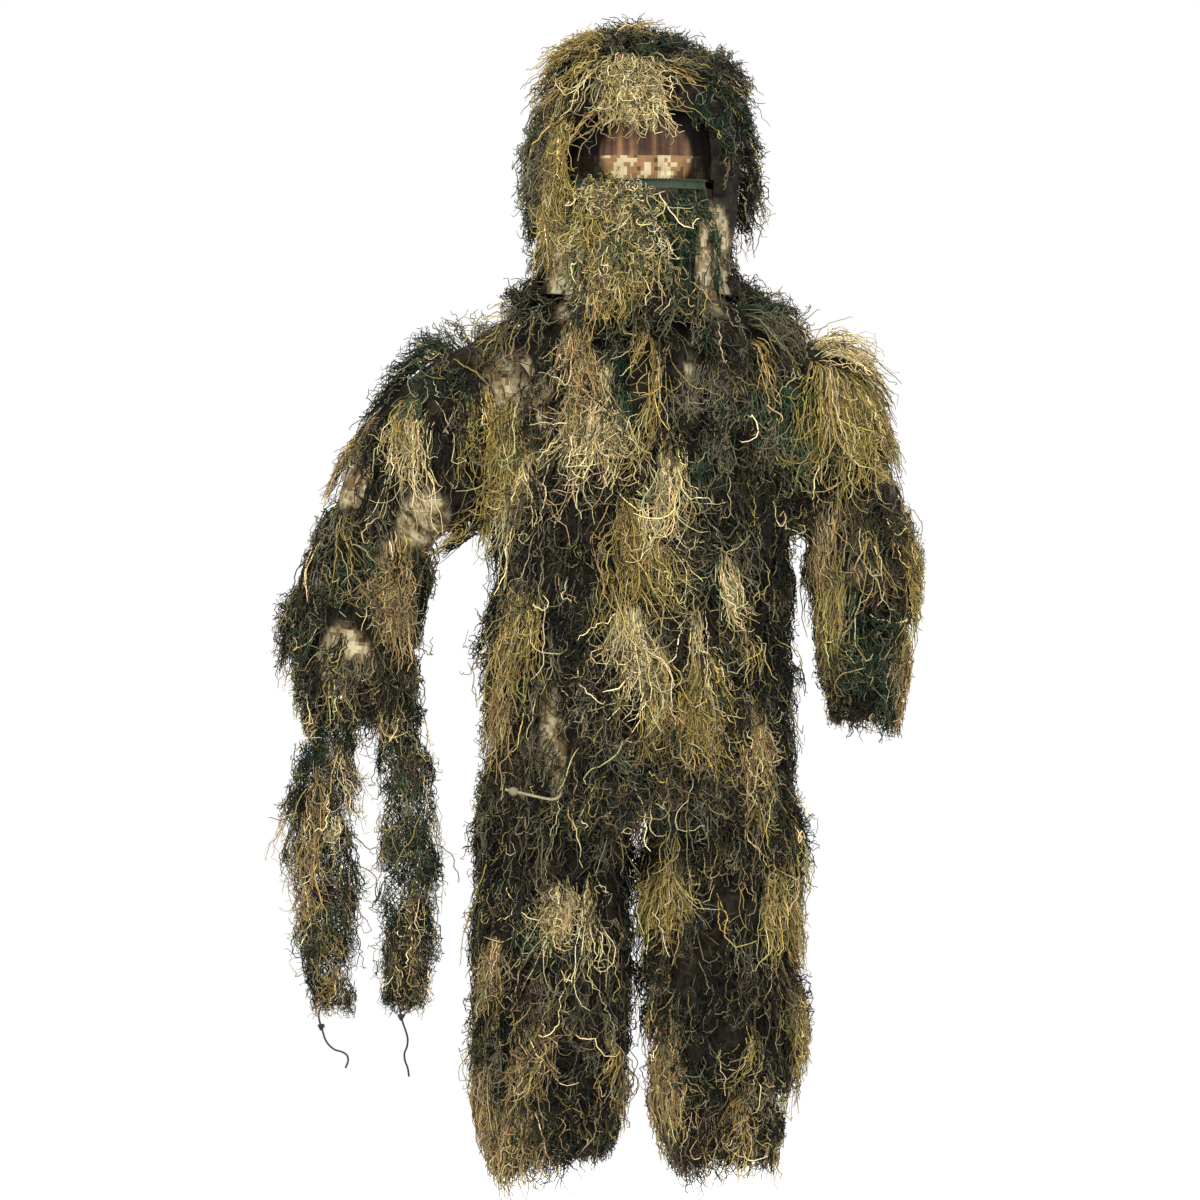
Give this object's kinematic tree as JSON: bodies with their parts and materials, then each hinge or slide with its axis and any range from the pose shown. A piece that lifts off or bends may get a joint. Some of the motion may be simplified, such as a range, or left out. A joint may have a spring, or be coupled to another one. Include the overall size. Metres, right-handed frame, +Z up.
{
  "type": "ghillie suit",
  "caption": "Hooded camouflage suit of jacket, trousers, face veil and rifle wrap, covered in layered yarn, standing as worn on an unseen body form.",
  "frame": {"origin": "centre of the neck base, where the wearer's or form's shoulders carry the jacket", "axes": "+Z up along the standing body, -Y the way the wearer faces, +X the wearer's left"},
  "size_m": [0.9703, 0.377, 1.7617],
  "materials": {
    "camo_cloth": "matte",
    "lining": "matte",
    "yarn": "matte",
    "yarn_dark": "matte",
    "elastic": "matte",
    "cord_black": "satin",
    "cord_khaki": "matte",
    "stud": "satin",
    "toggle": "matte",
    "net": "matte"
  },
  "bodies": {
    "jacket": {"jacket_back": "camo_cloth", "jacket_front_right": "camo_cloth", "jacket_front_left": "camo_cloth", "jacket_yarn_back": "yarn", "jacket_yarn_right": "yarn", "jacket_yarn_left": "yarn", "placket": "camo_cloth", "press_stud_1": "stud", "press_stud_2": "stud", "press_stud_3": "stud", "press_stud_4": "stud", "press_stud_5": "stud", "collar_band": "camo_cloth", "hem_casing": "camo_cloth", "hem_cord": "cord_khaki"},
    "toggle": {"hem_toggle": "toggle"},
    "hood": {"hood_shell": "camo_cloth", "hood_yarn": "yarn", "eye_band": "lining", "hood_brim": "camo_cloth"},
    "veil": {"veil_panel": "camo_cloth", "veil_yarn": "yarn", "veil_elastic": "elastic"},
    "sleeve_upper_right": {"sleeve_upper_right": "camo_cloth", "sleeve_yarn_upper_right": "yarn"},
    "sleeve_lower_right": {"sleeve_lower_right": "camo_cloth", "sleeve_yarn_lower_right": "yarn", "cuff_elastic_right": "elastic", "wrap_yoke": "net"},
    "wrap_outer": {"wrap_net_outer": "net", "wrap_yarn_outer": "yarn", "wrap_cord_outer": "cord_black", "wrap_knot_outer": "cord_black"},
    "wrap_inner": {"wrap_net_inner": "net", "wrap_yarn_inner": "yarn", "wrap_cord_inner": "cord_black", "wrap_knot_inner": "cord_black"},
    "sleeve_upper_left": {"sleeve_upper_left": "camo_cloth", "sleeve_yarn_upper_left": "yarn"},
    "sleeve_lower_left": {"sleeve_lower_left": "camo_cloth", "sleeve_yarn_lower_left": "yarn", "cuff_elastic_left": "elastic"},
    "trousers": {"waist_casing": "camo_cloth", "waist_elastic": "elastic", "trouser_seat": "camo_cloth"},
    "leg_upper_right": {"leg_upper_right": "camo_cloth", "leg_yarn_upper_right": "yarn_dark"},
    "leg_lower_right": {"leg_lower_right": "camo_cloth", "leg_yarn_lower_right": "yarn_dark", "ankle_elastic_right": "elastic"},
    "leg_upper_left": {"leg_upper_left": "camo_cloth", "leg_yarn_upper_left": "yarn_dark"},
    "leg_lower_left": {"leg_lower_left": "camo_cloth", "leg_yarn_lower_left": "yarn_dark", "ankle_elastic_left": "elastic"}
  },
  "joints": [
    {"name": "hood_tilt", "type": "hinge", "parent": "jacket", "child": "hood", "pos_m": [0, 0.16, 0.03], "axis": [-1, 0, 0], "range_deg": [0, 80]},
    {"name": "veil_lift", "type": "hinge", "parent": "hood", "child": "veil", "pos_m": [0, -0.12, 0.146], "axis": [-1, 0, 0], "range_deg": [0, 70]},
    {"name": "shoulder_right", "type": "hinge", "parent": "jacket", "child": "sleeve_upper_right", "pos_m": [-0.238, 0, -0.055], "axis": [0, 1, 0], "range_deg": [0, 60]},
    {"name": "shoulder_left", "type": "hinge", "parent": "jacket", "child": "sleeve_upper_left", "pos_m": [0.238, 0, -0.055], "axis": [0, -1, 0], "range_deg": [0, 60]},
    {"name": "elbow_right", "type": "hinge", "parent": "sleeve_upper_right", "child": "sleeve_lower_right", "pos_m": [-0.4174, -0.106, -0.4176], "axis": [-0.9685, 0, 0.2491], "range_deg": [0, 80]},
    {"name": "elbow_left", "type": "hinge", "parent": "sleeve_upper_left", "child": "sleeve_lower_left", "pos_m": [0.3414, -0.106, -0.4249], "axis": [-0.9555, 0, -0.295], "range_deg": [0, 80]},
    {"name": "wrap_swing_outer", "type": "hinge", "parent": "sleeve_lower_right", "child": "wrap_outer", "pos_m": [-0.468, 0, -0.66], "axis": [1, 0, 0], "range_deg": [-30, 30]},
    {"name": "wrap_swing_inner", "type": "hinge", "parent": "sleeve_lower_right", "child": "wrap_inner", "pos_m": [-0.37, 0, -0.66], "axis": [1, 0, 0], "range_deg": [-30, 30]},
    {"name": "hip_right", "type": "hinge", "parent": "trousers", "child": "leg_upper_right", "pos_m": [-0.131, -0.135, -0.795], "axis": [-1, 0, 0], "range_deg": [0, 50]},
    {"name": "hip_left", "type": "hinge", "parent": "trousers", "child": "leg_upper_left", "pos_m": [0.126, -0.135, -0.795], "axis": [-1, 0, 0], "range_deg": [0, 50]},
    {"name": "knee_right", "type": "hinge", "parent": "leg_upper_right", "child": "leg_lower_right", "pos_m": [-0.134, 0.135, -1.0615], "axis": [1, 0, 0], "range_deg": [0, 75]},
    {"name": "knee_left", "type": "hinge", "parent": "leg_upper_left", "child": "leg_lower_left", "pos_m": [0.123, 0.135, -1.0615], "axis": [1, 0, 0], "range_deg": [0, 75]},
    {"name": "trousers_pull_down", "type": "slide", "parent": "jacket", "child": "trousers", "axis": [0, 0, -1], "range_m": [0, 0.25]},
    {"name": "toggle_slide", "type": "slide", "parent": "jacket", "child": "toggle", "axis": [0.8932, -0.4094, -0.1861], "range_m": [0, 0.02]}
  ]
}
